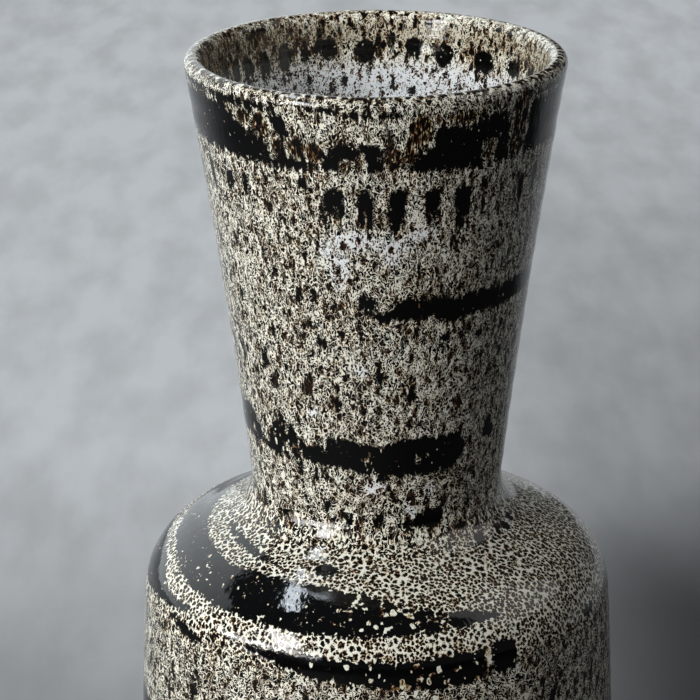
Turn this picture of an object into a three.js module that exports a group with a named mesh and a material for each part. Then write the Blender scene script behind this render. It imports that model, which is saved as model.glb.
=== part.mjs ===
// Stoneware vase with a flared neck, thrown in sections that are lapped and luted together, with a glaze
// coat inside and out. Millimetres, +Z up. The origin is the centre of the foot, on the table.
import * as THREE from 'three';

// Outline of the finished vase
const totalHeight = 380;
const rimRadius = 67.7;
const lipRadius = 3.4;
const neckBaseRadius = 44.9;
const neckBow = 1.2;
const coveReach = 12;
const shoulderSlope = THREE.MathUtils.degToRad(23.6);
const cornerRadius = 27;
const wallTopRadius = 86.4;
const wallTopHeight = 178;
const bellyRadius = 90;
const bellyHeight = 63;
const heelRadius = 77;
const heelLift = 18;

// Walls, floor and foot
const bodyWall = 8;
const neckWall = 7;
const boreRoundReach = 5;
const floorThickness = 9;
const flangeThickness = 5;
const floorCoveReach = 9;
const footHeight = 6;
const footRadius = 76;
const footWidth = 10;
const footChamfer = 1;

// Joints between the sections
const lapHeight = 5;
const bodySeamDrop = 10;
const slipJoint = 0.6;
const rimCoilHeight = 9;

// Glaze coats and the fits that keep neighbours apart
const outerGlazeThickness = 0.8;
const innerGlazeThickness = 0.6;
const glazeEdgeHeight = 2;
const bondGap = 0.1;
const plugGap = 0.3;

// Facets
const turns = 40;
const neckSteps = 4;
const coveSteps = 3;
const cornerSteps = 4;
const bellySteps = 3;
const heelSteps = 3;
const lipSteps = 4;

const clayMaterial = new THREE.MeshStandardMaterial({ color: 0x9c7f60, roughness: 0.85, metalness: 0 });
const slipMaterial = new THREE.MeshStandardMaterial({ color: 0x6f5540, roughness: 0.9, metalness: 0 });
const outerGlazeMaterial = new THREE.MeshStandardMaterial({ color: 0x6b5f4d, roughness: 0.15, metalness: 0 });
const innerGlazeMaterial = new THREE.MeshStandardMaterial({ color: 0x857761, roughness: 0.18, metalness: 0 });

// An outline is a list of (radius, height) points, from the foot upwards.
function at(radius, height) {
  return new THREE.Vector2(radius, height);
}

// Points of a curve that leaves a towards corner and arrives at b from it.
function bend(a, corner, b, steps) {
  return new THREE.QuadraticBezierCurve(a, corner, b).getPoints(steps);
}

// Points of a round arc about a centre, between two angles measured from the outward direction.
function arc(centre, radius, startAngle, endAngle, steps) {
  return new THREE.ArcCurve(centre.x, centre.y, radius, startAngle, endAngle).getPoints(steps);
}

// The outline moved to the left of its direction, which is towards the axis on the way up. Corners keep
// their mitre, so every stretch lies at the same distance.
function offset(points, distance) {
  const normals = points.slice(1).map((point, i) => {
    const along = point.clone().sub(points[i]).normalize();
    return at(-along.y, along.x);
  });
  return points.map((point, i) => {
    const before = normals[Math.max(i - 1, 0)];
    const after = normals[Math.min(i, normals.length - 1)];
    const mitre = before.clone().add(after).divideScalar(1 + before.dot(after));
    return point.clone().addScaledVector(mitre, distance);
  });
}

// Point of the line through a and b at a height.
function level(a, b, height) {
  return a.clone().lerp(b, (height - a.y) / (b.y - a.y));
}

// Point of a rising outline at a height.
function pointAt(points, height) {
  const last = points.length - 1;
  const above = points.findIndex((point) => point.y > height);
  const i = THREE.MathUtils.clamp(above < 0 ? last : above, 1, last);
  return level(points[i - 1], points[i], height);
}

// The stretch of a rising outline between two heights.
function between(points, low, high) {
  const inside = points.filter((point) => point.y > low && point.y < high);
  return [pointAt(points, low), ...inside, pointAt(points, high)];
}

// A named body turned from an outline. A ring's outline closes on itself, and a disc's ends on the axis.
function turned(name, outline, material) {
  const onAxis = outline[0].x === 0;
  const loop = onAxis ? outline : [...outline, outline[0]];
  const facingOut = THREE.ShapeUtils.area(outline) > 0 ? loop : loop.slice().reverse();
  const geometry = new THREE.LatheGeometry(facingOut, turns);
  geometry.rotateX(Math.PI / 2);
  const mesh = new THREE.Mesh(geometry, material);
  mesh.name = name;
  return mesh;
}

// Finished outside: heel, belly, corner and cone of the lower part
const wallLean = Math.atan2(2 * (bellyRadius - wallTopRadius), wallTopHeight - bellyHeight);
const coneAngle = Math.PI / 2 - shoulderSlope;
const cornerCentre = at(
  wallTopRadius - cornerRadius * Math.cos(wallLean),
  wallTopHeight - cornerRadius * Math.sin(wallLean),
);
const heel = bend(at(heelRadius, 0), at(bellyRadius, heelLift), at(bellyRadius, bellyHeight), heelSteps);
const bellyMid = at(bellyRadius, (bellyHeight + wallTopHeight) / 2);
const belly = bend(at(bellyRadius, bellyHeight), bellyMid, at(wallTopRadius, wallTopHeight), bellySteps);
const corner = arc(cornerCentre, cornerRadius, wallLean, coneAngle, cornerSteps);
const coneFoot = corner.at(-1);
const lowerOutside = [...heel, ...belly.slice(1), ...corner.slice(1)];

// Neck, from the point where its line meets the cone up to the widest point of the lip
const coneRise = (coneFoot.x - neckBaseRadius) * Math.tan(shoulderSlope);
const neckBase = at(neckBaseRadius, coneFoot.y + coneRise);
const lipSide = at(rimRadius, totalHeight - lipRadius);
const neckMiddle = neckBase.clone().lerp(lipSide, 0.5).sub(at(2 * neckBow, 0));
const neckLine = bend(neckBase, neckMiddle, lipSide, neckSteps);
const bareOutside = [...lowerOutside, ...neckLine];

// Cove in the outside angle of neck and shoulder
const coveTop = pointAt(neckLine, neckBase.y + coveReach);
const coveFoot = neckBase.clone().lerp(coneFoot, coveReach / neckBase.distanceTo(coneFoot));
const cove = bend(coveFoot, neckBase, coveTop, coveSteps);

// Lip, rolled from the outside to the inside
const lipCentre = at(rimRadius - lipRadius, totalHeight - lipRadius);
const lip = arc(lipCentre, lipRadius, 0, Math.PI, lipSteps);
const lipInside = lip.at(-1);

// Finished inside without its roundings: the lower wall, the underside of the cone and the bore of the neck
const lowerInside = offset(lowerOutside, bodyWall);
const coneUnderside = lowerInside.at(-1);
const boreRadius = neckBaseRadius - neckWall;
const boreBase = at(
  boreRadius,
  coneUnderside.y + (coneUnderside.x - boreRadius) * Math.tan(shoulderSlope),
);
const boreMiddle = boreBase.clone().lerp(lipInside, 0.5).sub(at(2 * neckBow, 0));
const boreLine = bend(boreBase, boreMiddle, lipInside, neckSteps);

// Roundings of the inside: the edge under the neck and the angle of floor and wall
const boreRound = bend(
  boreBase.clone().lerp(coneUnderside, boreRoundReach / boreBase.distanceTo(coneUnderside)),
  boreBase,
  pointAt(boreLine, boreBase.y + boreRoundReach),
  coveSteps,
);
const boreAboveRound = boreLine.filter((point) => point.y > boreRound.at(-1).y);
const bareInside = [...lowerInside, ...boreRound, ...boreAboveRound];
const innerCoat = innerGlazeThickness + bondGap;
const floorTop = footHeight + floorThickness + innerCoat;
const floorCorner = pointAt(bareInside, floorTop);
const floorCove = bend(
  floorCorner.clone().sub(at(floorCoveReach, 0)),
  floorCorner,
  pointAt(bareInside, floorTop + floorCoveReach),
  coveSteps,
);

// Clay faces, under the glaze coats
const outerCoat = outerGlazeThickness + bondGap;
const clayOutside = offset(bareOutside, outerCoat);
const clayInside = offset(bareInside, -innerCoat);
const clayNeckBase = clayOutside[lowerOutside.length];

// Heights of the joints
const flangeTop = footHeight + flangeThickness;
const floorClayTop = footHeight + floorThickness;
const bodySeam = wallTopHeight - bodySeamDrop;
const neckSeam = clayNeckBase.y - slipJoint;
const rimSeat = totalHeight - rimCoilHeight;

// A lapped joint: the lower section keeps the inner half of the wall for the height of the lap, and the
// upper section comes down outside it, with room for slip on every face.
function lap(seam) {
  const middle = seam + lapHeight / 2;
  const radius = (pointAt(clayOutside, middle).x + pointAt(clayInside, middle).x) / 2;
  const tongue = [at(radius, seam), at(radius, seam + lapHeight)];
  const socket = tongue.map((point) => point.clone().addScalar(slipJoint));
  return { tongue, socket };
}

// A ring of wall from one height to another, with the points of its lower and upper edges, which both run
// from the outside inwards.
function section(name, outside, lowerEdge, upperEdge, inside) {
  const outline = [...outside, ...upperEdge, ...inside.slice().reverse(), ...lowerEdge.slice().reverse()];
  return turned(name, outline, clayMaterial);
}

// The slip that fills a lapped joint, clear of both sections by the bond gap.
function slipRing(name, seam) {
  const { tongue, socket } = lap(seam);
  const lapTop = seam + lapHeight;
  const outer = pointAt(clayOutside, seam + slipJoint).x - bondGap;
  const inner = pointAt(clayInside, lapTop).x + bondGap;
  const onTongue = tongue.map((point) => point.clone().addScalar(bondGap));
  const inSocket = socket.map((point) => point.clone().subScalar(bondGap));
  const lowerFace = [at(outer, onTongue[0].y), ...onTongue, at(inner, onTongue[1].y)];
  const upperFace = [at(outer, inSocket[0].y), ...inSocket, at(inner, inSocket[1].y)];
  return turned(name, [...lowerFace, ...upperFace.reverse()], slipMaterial);
}

// A coil of clay in the angle of two faces, with a hollow face towards the open side. Its tips are blunt.
function coil(name, seatCorner, seatStart, face, seatEnd) {
  return turned(name, [seatCorner, seatStart, ...face, seatEnd], clayMaterial);
}

// The far side of a coat on a face, cut off level with the face's last point.
function coatBack(face, distance) {
  const back = offset(face, distance);
  return [...back.slice(0, -1), level(back.at(-2), back.at(-1), face.at(-1).y)];
}

// Foot ring, flat below, with its edges chamfered
function footRing() {
  const inner = footRadius - footWidth;
  const outline = [
    at(inner + footChamfer, 0),
    at(footRadius - footChamfer, 0),
    at(footRadius, footChamfer),
    at(footRadius, footHeight),
    at(inner, footHeight),
    at(inner, footChamfer),
  ];
  return turned('foot_ring', outline, clayMaterial);
}

// Floor, with a flange under the wall and a plug inside it
function baseDisc() {
  const underside = footHeight + bondGap;
  const edge = between(clayOutside, underside, flangeTop);
  const plugRadius = pointAt(clayInside, flangeTop).x - plugGap;
  const outline = [
    at(0, underside),
    ...edge,
    at(plugRadius, flangeTop),
    at(plugRadius, floorClayTop),
    at(0, floorClayTop),
  ];
  return turned('base_disc', outline, clayMaterial);
}

function bodySection() {
  const foot = flangeTop + bondGap;
  const { tongue } = lap(bodySeam);
  const outside = between(clayOutside, foot, bodySeam);
  const inside = between(clayInside, foot, bodySeam + lapHeight);
  return section('body_wall', outside, [], tongue, inside);
}

function shoulderSection() {
  const { socket } = lap(bodySeam);
  const { tongue } = lap(neckSeam);
  const outside = between(clayOutside, bodySeam + slipJoint, neckSeam);
  const inside = between(clayInside, bodySeam + lapHeight + slipJoint, neckSeam + lapHeight);
  return section('shoulder', outside, socket, tongue, inside);
}

function neckSection() {
  const { socket } = lap(neckSeam);
  const outside = between(clayOutside, neckSeam + slipJoint, rimSeat);
  const inside = between(clayInside, neckSeam + lapHeight + slipJoint, rimSeat);
  return section('neck', outside, socket, [], inside);
}

// Lip over the neck's top edge, under the outer glaze on both sides
function rimCoil() {
  const foot = rimSeat + bondGap;
  const lipClay = offset([...neckLine, ...lip.slice(1)], outerCoat).slice(neckLine.length);
  const outside = between(clayOutside, foot, lipSide.y);
  const inside = between(offset(boreLine, -outerCoat), foot, lipInside.y);
  return section('rim_coil', outside, [], lipClay.slice(0, -1), inside);
}

// Coil in the angle of floor and wall
function baseCoil() {
  const floor = floorClayTop + bondGap;
  const wallSeat = offset(clayInside, bondGap);
  const face = offset(floorCove, -innerCoat).slice(1, -1);
  const seatCorner = pointAt(wallSeat, floor);
  const seatStart = at(face[0].x, floor);
  return coil('base_coil', seatCorner, seatStart, face, pointAt(wallSeat, face.at(-1).y));
}

// Coil in the angle of shoulder and neck
function coveCoil() {
  const seat = offset(clayOutside, -bondGap);
  const seatCorner = seat[lowerOutside.length];
  const seatCone = seat[lowerOutside.length - 1];
  const face = offset(cove, outerCoat).slice(1, -1);
  const coneShare = (face[0].x - seatCorner.x) / (seatCone.x - seatCorner.x);
  const seatStart = seatCorner.clone().lerp(seatCone, coneShare);
  return coil('cove_coil', seatCorner, seatStart, face, pointAt(seat, face.at(-1).y));
}

// Outer glaze, from just above the foot up the outside and over the lip to the rim coil's foot
function outerGlaze() {
  const edge = footHeight + glazeEdgeHeight;
  const belowCove = between(lowerOutside, edge, coneFoot.y);
  const aboveCove = neckLine.filter((point) => point.y > coveTop.y);
  const throat = between(boreLine, rimSeat + bondGap, lipInside.y).reverse();
  const face = [...belowCove, ...cove, ...aboveCove, ...lip.slice(1), ...throat.slice(1)];
  const back = coatBack(face, outerGlazeThickness).reverse();
  return turned('outer_glaze', [...face, ...back], outerGlazeMaterial);
}

// Inner glaze, from the middle of the floor up the inside to the rim coil's foot
function innerGlaze() {
  const wall = between(bareInside, floorCove.at(-1).y, rimSeat);
  const face = [at(0, floorTop), ...floorCove, ...wall.slice(1)];
  const back = coatBack(face, -innerGlazeThickness);
  return turned('inner_glaze', [...back, ...face.reverse()], innerGlazeMaterial);
}

const vase = new THREE.Group();
vase.add(
  footRing(),
  baseDisc(),
  bodySection(),
  baseCoil(),
  slipRing('body_slip', bodySeam),
  shoulderSection(),
  slipRing('neck_slip', neckSeam),
  neckSection(),
  coveCoil(),
  rimCoil(),
  outerGlaze(),
  innerGlaze(),
);

export default vase;
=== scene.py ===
"""Looks of a stoneware vase with a flared neck and a black and cream reactive glaze."""

import math

import bpy
import numpy as np
from bpy.props import FloatProperty, FloatVectorProperty, IntProperty, PointerProperty
from mathutils import Matrix, Vector


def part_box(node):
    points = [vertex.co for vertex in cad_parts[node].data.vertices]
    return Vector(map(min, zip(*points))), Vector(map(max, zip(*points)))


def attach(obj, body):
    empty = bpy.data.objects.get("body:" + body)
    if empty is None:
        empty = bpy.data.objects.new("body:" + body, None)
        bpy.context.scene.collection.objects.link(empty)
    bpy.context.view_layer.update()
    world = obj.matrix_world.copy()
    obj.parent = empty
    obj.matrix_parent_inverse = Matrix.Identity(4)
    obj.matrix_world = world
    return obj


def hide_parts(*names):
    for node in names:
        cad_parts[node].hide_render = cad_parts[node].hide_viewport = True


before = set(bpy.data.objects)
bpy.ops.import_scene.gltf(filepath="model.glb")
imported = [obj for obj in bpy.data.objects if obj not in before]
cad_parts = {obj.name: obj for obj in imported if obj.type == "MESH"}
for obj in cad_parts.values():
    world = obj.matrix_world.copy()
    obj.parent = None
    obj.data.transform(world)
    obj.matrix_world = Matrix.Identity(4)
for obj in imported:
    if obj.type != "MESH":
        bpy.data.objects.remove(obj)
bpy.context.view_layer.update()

bl_info = {
    "name": "Reactive Glaze Vase",
    "version": (1, 0, 0),
    "blender": (4, 5, 0),
    "location": "View3D > Sidebar > Vase",
    "description": "Builds the glaze coats, the foot and the studio round the vase's solids",
    "category": "Add Mesh",
}

MM = 0.001
CLAY_NODES = ("body_wall", "base_coil", "shoulder", "neck", "cove_coil", "rim_coil")
SLIP_NODES = ("body_slip", "neck_slip")

# Steps of the grids: columns, how far the columns close up to the front or the back, and rows as
# stretches of (start, end, step) in millimetres. A hidden face has a row for every step or turn, and an
# edge that turns by more than an angle is shaded sharp.
FOOT_COLUMNS = 256
OUTER_FOCUS = 0.3
INNER_FOCUS = -0.2
OUTER_ROWS = ((0, 8, 0.9), (8, 240, 1.6), (240, 396, 4.5))
INNER_ROWS = ((0, 60, 1.3), (60, 180, 3))
INNER_LOW_ROWS = (180, 5)
THROAT_ROWS = 13
HIDDEN_STEP = 16 * MM
HIDDEN_TURN = math.radians(14)
SHARP_EDGE = math.radians(52)

# Rings that close on the middle of a round face, and the turning marks under the floor
COAT_HUB = 4 * MM
DISC_HUB = 2 * MM
MARK_DEPTH = 0.25 * MM
MARK_PITCH = 3.1 * MM
MARK_MARGIN = 4 * MM
MARK_ROWS = 120


# Sizes and colours that a user would change

def length(label, note, millimetres):
    """A length property, given in millimetres and kept in metres."""
    return FloatProperty(
        name=label, description=note, default=millimetres * MM, min=0.0, unit="LENGTH", precision=5
    )


def tint(label, note, colour):
    """A linear colour property."""
    return FloatVectorProperty(
        name=label, description=note, default=colour, min=0.0, max=1.0, subtype="COLOR"
    )


class VaseSizes(bpy.types.PropertyGroup):
    """Outline, walls and coats of the vase. They repeat the sizes of the solids."""

    total_height: FloatProperty(
        name="Height",
        description="Foot to top of the lip",
        default=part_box("outer_glaze")[1].z,
        unit="LENGTH",
    )
    rim_radius: length("Rim radius", "Widest radius of the lip", 67.7)
    lip_radius: length("Lip radius", "Roundness of the lip", 3.4)
    neck_base_radius: length("Neck base radius", "Where the neck meets the shoulder", 44.9)
    neck_bow: length("Neck bow", "How far the neck's line is drawn in at its middle", 1.2)
    cove_reach: length("Cove reach", "Reach of the soft angle of neck and shoulder", 12)
    shoulder_slope: FloatProperty(
        name="Shoulder slope",
        description="Fall of the shoulder from level",
        default=math.radians(23.6),
        subtype="ANGLE",
    )
    corner_radius: length("Corner radius", "Roundness of the shoulder's corner", 27)
    wall_top_radius: length("Wall top radius", "Where the wall turns into the corner", 86.4)
    wall_top_height: length("Wall top height", "Where the wall turns into the corner", 178)
    belly_radius: length("Belly radius", "Widest radius of the body", 90)
    belly_height: length("Belly height", "Height of the widest place", 63)
    heel_radius: length("Heel radius", "Radius of the body's line at the table", 77)
    heel_lift: length("Heel lift", "Height that the heel's curve bends at", 18)
    body_wall: length("Body wall", "Wall of the body with its coats", 8)
    neck_wall: length("Neck wall", "Wall of the neck with its coats", 7)
    bore_round: length("Bore rounding", "Reach of the rounding under the neck", 5)
    floor_top: length("Floor height", "Height of the floor inside", 15.7)
    floor_cove: length("Floor cove", "Reach of the rounding of floor and wall", 9)
    foot_height: length("Foot height", "Height of the foot ring", 6)
    foot_radius: length("Foot radius", "Outer radius of the foot ring", 76)
    foot_width: length("Foot width", "Width of the foot ring", 10)
    foot_edge: length("Foot edge", "Rounding of the foot ring's edges", 1)
    flange_top: length("Flange height", "Top of the floor disc's rim under the wall", 11)
    floor_clay: length("Floor clay height", "Top of the floor disc's clay", 15)
    plug_radius: length("Plug radius", "Radius of the floor disc inside the wall", 73)
    glaze_edge: length("Glaze edge height", "Where the outer glaze stops above the foot", 8)
    throat: length("Throat height", "Where the outer glaze meets the inner one", 371.1)
    outer_coat: length("Outer coat", "Thickness of the outer glaze", 0.8)
    inner_coat: length("Inner coat", "Thickness of the inner glaze", 0.6)
    bond: length("Bond gap", "Gap that keeps the coats off the clay", 0.1)
    relief: length("Relief", "How far the cream stands above the black", 0.08)
    ripple: length("Ripple", "Height of the throwing rings", 0.07)
    columns: IntProperty(
        name="Columns", description="Steps round the vase", default=384, min=48, max=720
    )


class GlazeColours(bpy.types.PropertyGroup):
    """Colours of the glaze and the clay."""

    black: tint("Black", "Iron-black ground of the glaze", (0.0014, 0.0015, 0.0016))
    umber: tint("Umber", "Rim where black meets cream", (0.045, 0.031, 0.010))
    olive: tint("Olive", "Thin cream over the ground", (0.20, 0.165, 0.068))
    brown: tint("Brown", "Rim of black and cream round the iron eyes", (0.070, 0.028, 0.008))
    amber: tint("Amber", "Thin cream round the iron eyes", (0.30, 0.165, 0.058))
    cream: tint("Cream", "Thick cream", (0.60, 0.582, 0.43))
    pale: tint("Pale cream", "Thickest cream", (0.81, 0.795, 0.70))
    milk: tint("Milk", "Bluish white pools", (0.78, 0.82, 0.86))
    rust: tint("Rust", "Red-brown iron spots", (0.040, 0.019, 0.010))
    tan: tint("Tan", "Toasted cream by the mouth", (0.36, 0.295, 0.19))
    clay: tint("Clay", "Fired stoneware", (0.33, 0.21, 0.12))
    slip: tint("Slip", "Fired slip in the joints", (0.16, 0.09, 0.05))


class StudioSettings(bpy.types.PropertyGroup):
    """Floor, lamps and camera."""

    floor: tint("Floor", "Colour of the floor round the vase", (0.068, 0.070, 0.072))
    backdrop: tint("Backdrop", "Pale colour of the floor further off", (0.418, 0.441, 0.463))
    surround: tint("Surround", "Colour beyond the floor", (0.46, 0.485, 0.51))
    ambient: tint("Ambient", "Light from the room", (0.06, 0.063, 0.067))
    lens: FloatProperty(name="Lens", description="Focal length in millimetres", default=152.6)


# Lines of the vase in radius and height

def bend(start, corner, end, count):
    """Quadratic curve that leaves start towards corner and arrives at end from it."""
    share = np.linspace(0, 1, count)[:, None]
    start, corner, end = (np.asarray(point, float) for point in (start, corner, end))
    return (1 - share) ** 2 * start + 2 * share * (1 - share) * corner + share**2 * end


def arc(centre, radius, first, last, count):
    """Points at one radius from a centre, between two angles from the outward direction."""
    angle = np.linspace(first, last, count)
    return np.stack([centre[0] + radius * np.cos(angle), centre[1] + radius * np.sin(angle)], 1)


def normals_of(line):
    """Unit directions to the left of a line's travel, from the slope between a point's neighbours."""
    along = np.gradient(line, axis=0)
    along /= np.linalg.norm(along, axis=1, keepdims=True)
    return np.stack([-along[:, 1], along[:, 0]], 1)


def run_of(line):
    """Distance along a line from its first point."""
    return np.concatenate([[0], np.cumsum(np.linalg.norm(np.diff(line, axis=0), axis=1))])


def points_at(line, runs):
    """Points of a line at distances from its first point."""
    far = run_of(line)
    return np.stack([np.interp(runs, far, line[:, 0]), np.interp(runs, far, line[:, 1])], 1)


def cut(line, low, high):
    """Stretch of a rising line between two heights, with its ends on those heights."""
    ends = [[np.interp(h, line[:, 1], line[:, 0]), h] for h in (low, high)]
    inside = line[(line[:, 1] > low) & (line[:, 1] < high)]
    return np.concatenate([[ends[0]], inside, [ends[1]]])


def lower_outside(s):
    """Heel, belly and corner up to the foot of the shoulder's cone: two curves and a round arc."""
    lean = math.atan2(2 * (s.belly_radius - s.wall_top_radius), s.wall_top_height - s.belly_height)
    belly = (s.belly_radius, s.belly_height)
    wall_top = (s.wall_top_radius, s.wall_top_height)
    middle = (s.belly_radius, (s.belly_height + s.wall_top_height) / 2)
    centre = (
        s.wall_top_radius - s.corner_radius * math.cos(lean),
        s.wall_top_height - s.corner_radius * math.sin(lean),
    )
    heel = bend((s.heel_radius, 0), (s.belly_radius, s.heel_lift), belly, 80)
    wall = bend(belly, middle, wall_top, 120)
    corner = arc(centre, s.corner_radius, lean, math.pi / 2 - s.shoulder_slope, 80)
    return np.concatenate([heel, wall[1:], corner[1:]])


def neck_line(s, base, top, count=300):
    """A neck line from base to top, drawn in at its middle by the bow."""
    middle = (np.asarray(base) + np.asarray(top)) / 2 - np.array([2 * s.neck_bow, 0])
    return bend(base, middle, top, count)


def outside_line(s):
    """Outside from the table to the widest place of the lip, with the cove of neck and shoulder."""
    lower = lower_outside(s)
    foot = lower[-1]
    rise = (foot[0] - s.neck_base_radius) * math.tan(s.shoulder_slope)
    base = np.array([s.neck_base_radius, foot[1] + rise])
    neck = neck_line(s, base, (s.rim_radius, s.total_height - s.lip_radius))
    cove_height = base[1] + s.cove_reach
    cove_top = (np.interp(cove_height, neck[:, 1], neck[:, 0]), cove_height)
    cove_foot = base + (foot - base) * s.cove_reach / np.linalg.norm(foot - base)
    cove = bend(cove_foot, base, cove_top, 60)
    cone = np.linspace(foot, cove_foot, 40)[1:-1]
    return np.concatenate([lower, cone, cove, neck[neck[:, 1] > cove_height]])


def lip_line(s):
    """Half circle of the lip from the outside to the inside."""
    centre = (s.rim_radius - s.lip_radius, s.total_height - s.lip_radius)
    return arc(centre, s.lip_radius, 0, math.pi, 60)


def bore_line(s):
    """Inside of the neck with the rounding under it, and the underside of the cone below."""
    lower = lower_outside(s)
    inside = lower + normals_of(lower) * s.body_wall
    under = inside[-1]
    radius = s.neck_base_radius - s.neck_wall
    base = np.array([radius, under[1] + (under[0] - radius) * math.tan(s.shoulder_slope)])
    bore = neck_line(s, base, lip_line(s)[-1])
    round_height = base[1] + s.bore_round
    start = base + (under - base) * s.bore_round / np.linalg.norm(under - base)
    end = (np.interp(round_height, bore[:, 1], bore[:, 0]), round_height)
    rounding = bend(start, base, end, 40)
    cone = np.linspace(under, start, 40)[1:-1]
    return inside, np.concatenate([cone, rounding, bore[bore[:, 1] > round_height]])


def inside_line(s):
    """Inside from the middle of the floor up to the lip: floor, cove, wall, cone, rounding and bore."""
    wall, bore = bore_line(s)
    corner = (np.interp(s.floor_top, wall[:, 1], wall[:, 0]), s.floor_top)
    above = s.floor_top + s.floor_cove
    cove_end = (np.interp(above, wall[:, 1], wall[:, 0]), above)
    cove = bend((corner[0] - s.floor_cove, s.floor_top), corner, cove_end, 40)
    return np.concatenate([cove, wall[wall[:, 1] > above], bore])


# Meshes

def add_piece(name, points, faces, node):
    """A smooth mesh object in the scene that stands for a node and rides on the vase."""
    mesh = bpy.data.meshes.new(name)
    mesh.from_pydata(points.reshape(-1, 3), [], [[v for v in face if v >= 0] for face in faces.tolist()])
    mesh.polygons.foreach_set("use_smooth", np.ones(len(mesh.polygons), bool))
    mesh.set_sharp_from_angle(angle=SHARP_EDGE)
    mesh.update()
    if mesh.validate():
        raise RuntimeError(f"{name}: the mesh had faults")
    piece = bpy.data.objects.new(name, mesh)
    bpy.context.scene.collection.objects.link(piece)
    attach(piece, "root")
    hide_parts(node)
    return piece


def steps_round(columns, focus):
    """Angles round the vase from the front, closer together at the front for a focus above zero and at
    the back for one below it: each even step t goes to t - focus sin t."""
    even = np.arange(columns) * 2 * math.pi / columns
    return even - focus * np.sin(even)


def turn(section, angles):
    """Turned surface: each point (radius, height) of the section, or of one section for every angle,
    goes to (radius sin a, -radius cos a, height), with the angle a from the front."""
    if section.ndim == 2:
        section = np.repeat(section[:, None, :], len(angles), 1)
    radius, height = section[..., 0], section[..., 1]
    return np.stack([radius * np.sin(angles), -radius * np.cos(angles), height], -1)


def wrap_faces(rows, columns, closed):
    """Four-sided faces of a grid that closes round the vase, and also across its rows if closed."""
    row = np.arange(rows if closed else rows - 1)[:, None]
    column = np.arange(columns)[None]
    above, beside = (row + 1) % rows, (column + 1) % columns
    corners = [row * columns + column, row * columns + beside]
    corners += [above * columns + beside, above * columns + column]
    return np.stack(np.broadcast_arrays(*corners), -1).reshape(-1, 4)


def capped_faces(rows, columns):
    """Faces of a grid of rings whose first and last rings each close on a point. The two points follow
    the grid. The last corner of each cap's faces is left out as -1."""
    ring = np.arange(columns)
    beside = (ring + 1) % columns
    last = (rows - 1) * columns
    none = np.full(columns, -1)
    first_cap = np.stack([beside, ring, np.full(columns, rows * columns), none], 1)
    last_cap = np.stack([last + ring, last + beside, np.full(columns, rows * columns + 1), none], 1)
    return np.concatenate([wrap_faces(rows, columns, closed=False), first_cap, last_cap])


def sparse_rows(line):
    """Rows of a line that are enough for a hidden face: one for every step or turn of a set size."""
    along = np.diff(line, axis=0)
    heading = np.unwrap(np.arctan2(along[:, 1], along[:, 0]))
    turning = np.abs(np.diff(heading, append=heading[-1]))
    spent = np.cumsum(np.linalg.norm(along, axis=1) / HIDDEN_STEP + turning / HIDDEN_TURN)
    rows = np.searchsorted(spent, np.arange(1, spent[-1])) + 1
    return np.unique(np.concatenate([[0], rows, [len(line) - 1]]))


def row_runs(stretches):
    """Runs of a grid's rows, in millimetres: even steps over stretches of (start, end, step)."""
    return np.concatenate([np.arange(*stretch) for stretch in stretches])


def store(piece, **fields):
    """Keeps a number for each vertex under each name."""
    for name, values in fields.items():
        attribute = piece.data.attributes.new(name, "FLOAT", "POINT")
        attribute.data.foreach_set("value", np.asarray(values, np.float32).ravel())


# Layout of the glaze. Angles are degrees from the front, to the right. Runs are millimetres along the
# surface from the top of the lip. Depths are millimetres inside an edge, below zero outside it.

class Place:
    """Angle, run and radius of every point of a grid."""

    def __init__(self, angle, run, radius):
        self.angle = angle
        self.run = run
        self.radius = radius

    def across(self, angle):
        """Millimetres round the vase from an angle, the short way."""
        turned = (self.angle - angle + 180) % 360 - 180
        return np.radians(turned) * self.radius

    def spot(self, angle, run, wide, tall, tail=0.0):
        """Depth in an oval of half sizes wide and tall, drawn out below by tail."""
        down = self.run - run
        reach = np.where(down > 0, tall + tail, tall)
        return (1 - np.hypot(self.across(angle) / wide, down / reach)) * min(wide, tall)

    def band(self, knots):
        """Depth between an upper and a lower edge, each carried in straight lines through knots of
        (angle, upper, lower). Where the edges cross there is no band."""
        angles, upper, lower = np.array(knots, float).T
        top = np.interp(self.angle, angles, upper, period=360)
        bottom = np.interp(self.angle, angles, lower, period=360)
        return np.minimum(self.run - top, bottom - self.run)

    def stroke(self, start, end, half_width):
        """Depth in a thin run of glaze between two (angle, run) points."""
        across, down = self.across(start[0]), self.run - start[1]
        along = np.radians(end[0] - start[0]) * self.radius
        fall = end[1] - start[1]
        share = np.clip((across * along + down * fall) / (along**2 + fall**2), 0, 1)
        return half_width - np.hypot(across - share * along, down - share * fall)


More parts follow.
